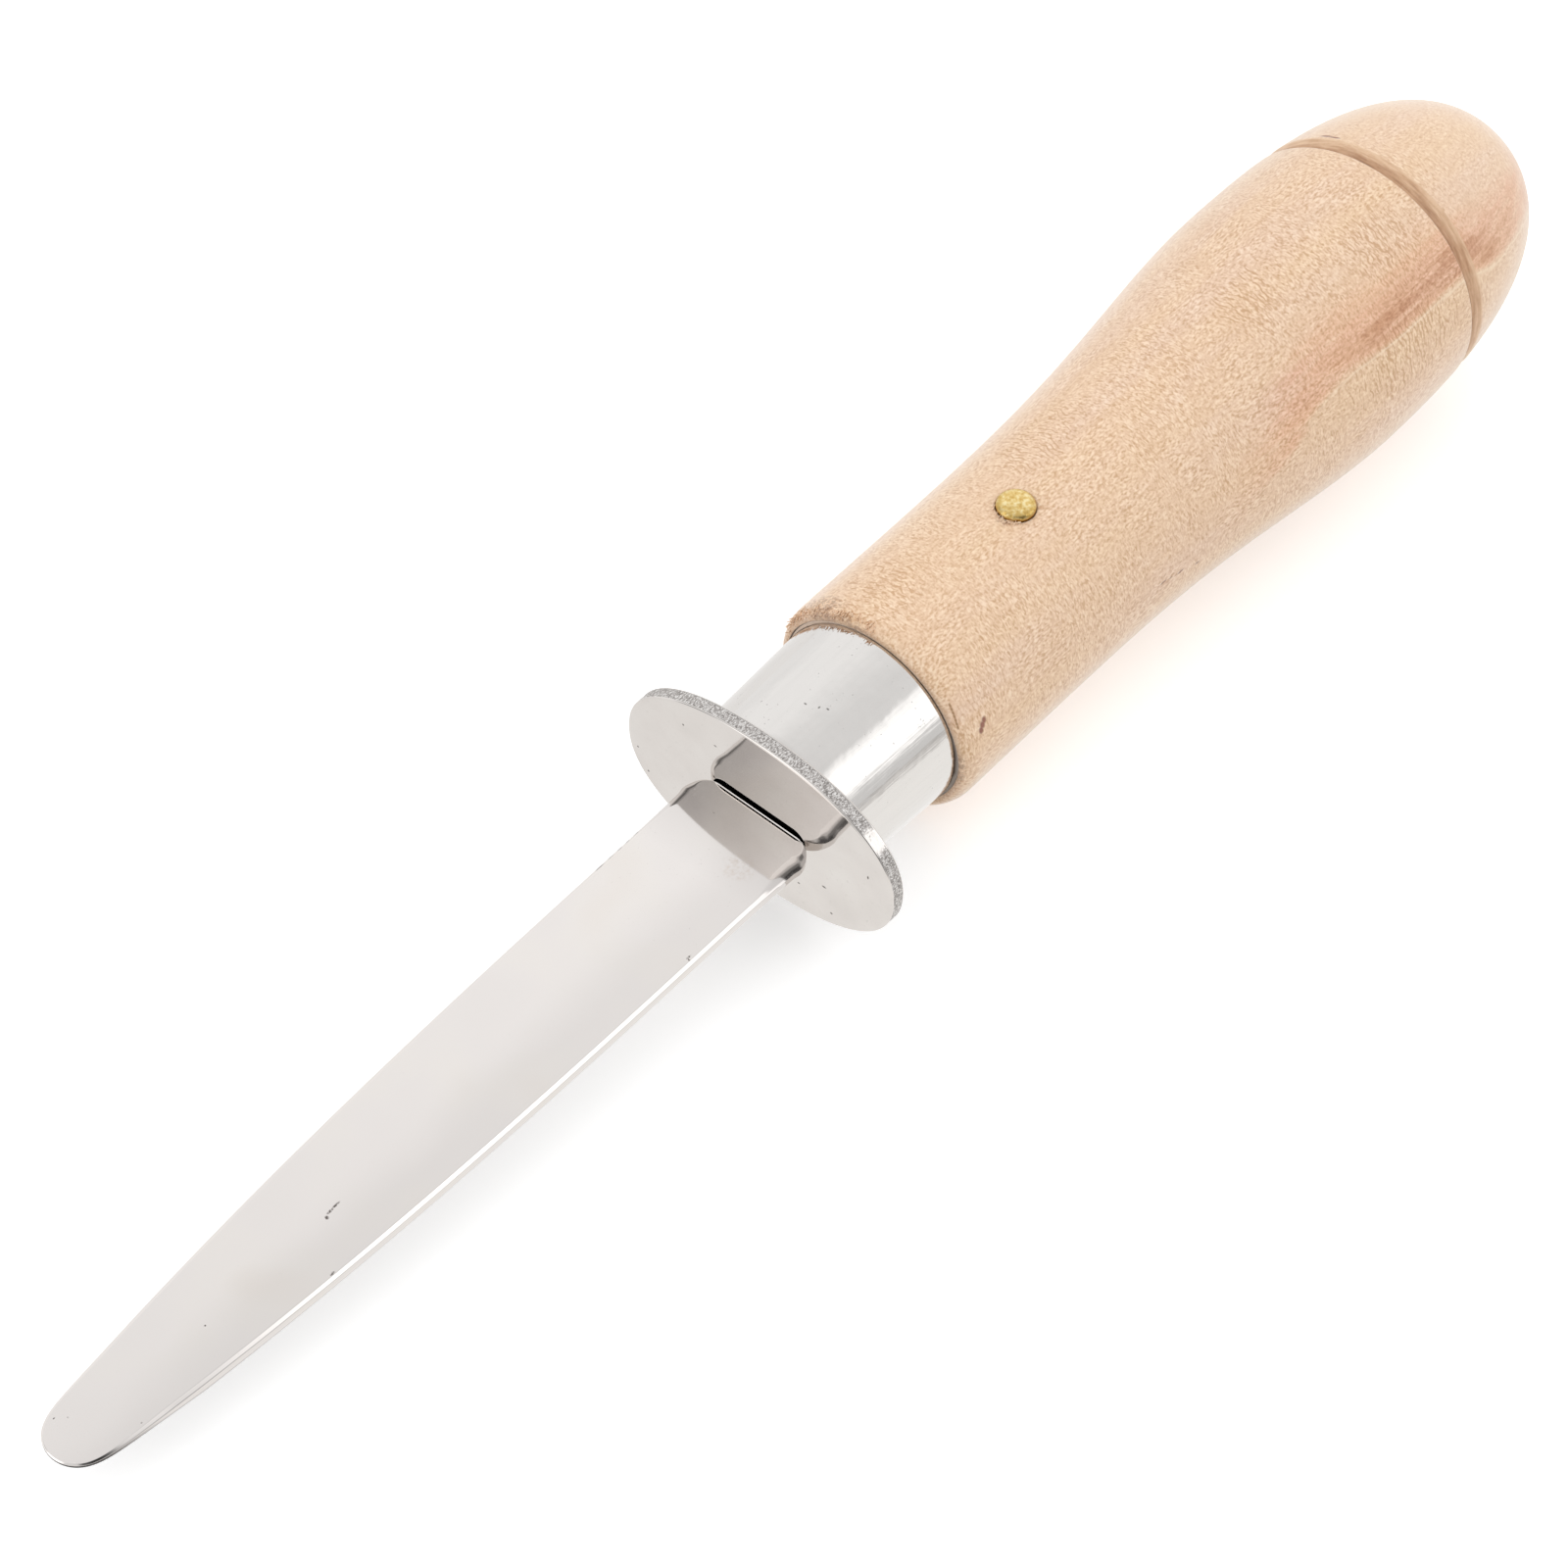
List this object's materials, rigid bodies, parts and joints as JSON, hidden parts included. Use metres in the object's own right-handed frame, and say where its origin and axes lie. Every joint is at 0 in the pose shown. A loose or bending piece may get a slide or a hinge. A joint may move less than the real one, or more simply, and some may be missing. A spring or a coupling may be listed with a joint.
{
  "type": "oyster knife",
  "caption": "Oyster knife with a flat round-tipped steel blade, an oval guard plate, a short ferrule and a turned wooden handle held by a brass cross pin.",
  "frame": {"origin": "middle of the knife's length, on the long axis of the turned handle", "axes": "+X runs along the knife towards the blade's tip, +Z is the outward normal of the blade's upper flat face, +Y completes a right-handed set and runs across the width of the blade and the guard"},
  "size_m": [0.1998, 0.0312, 0.0292],
  "materials": {
    "blade_steel": "mirror polished",
    "guard_steel": "polished faces and a rough sheared rim",
    "ferrule_steel": "polished",
    "pale_wood": "bare, finely sanded",
    "pin_brass": "hammered, satin"
  },
  "bodies": {
    "root": {"blade": "blade_steel", "guard": "guard_steel", "ferrule": "ferrule_steel", "handle": "pale_wood", "handle_pin": "pin_brass"}
  },
  "joints": []
}
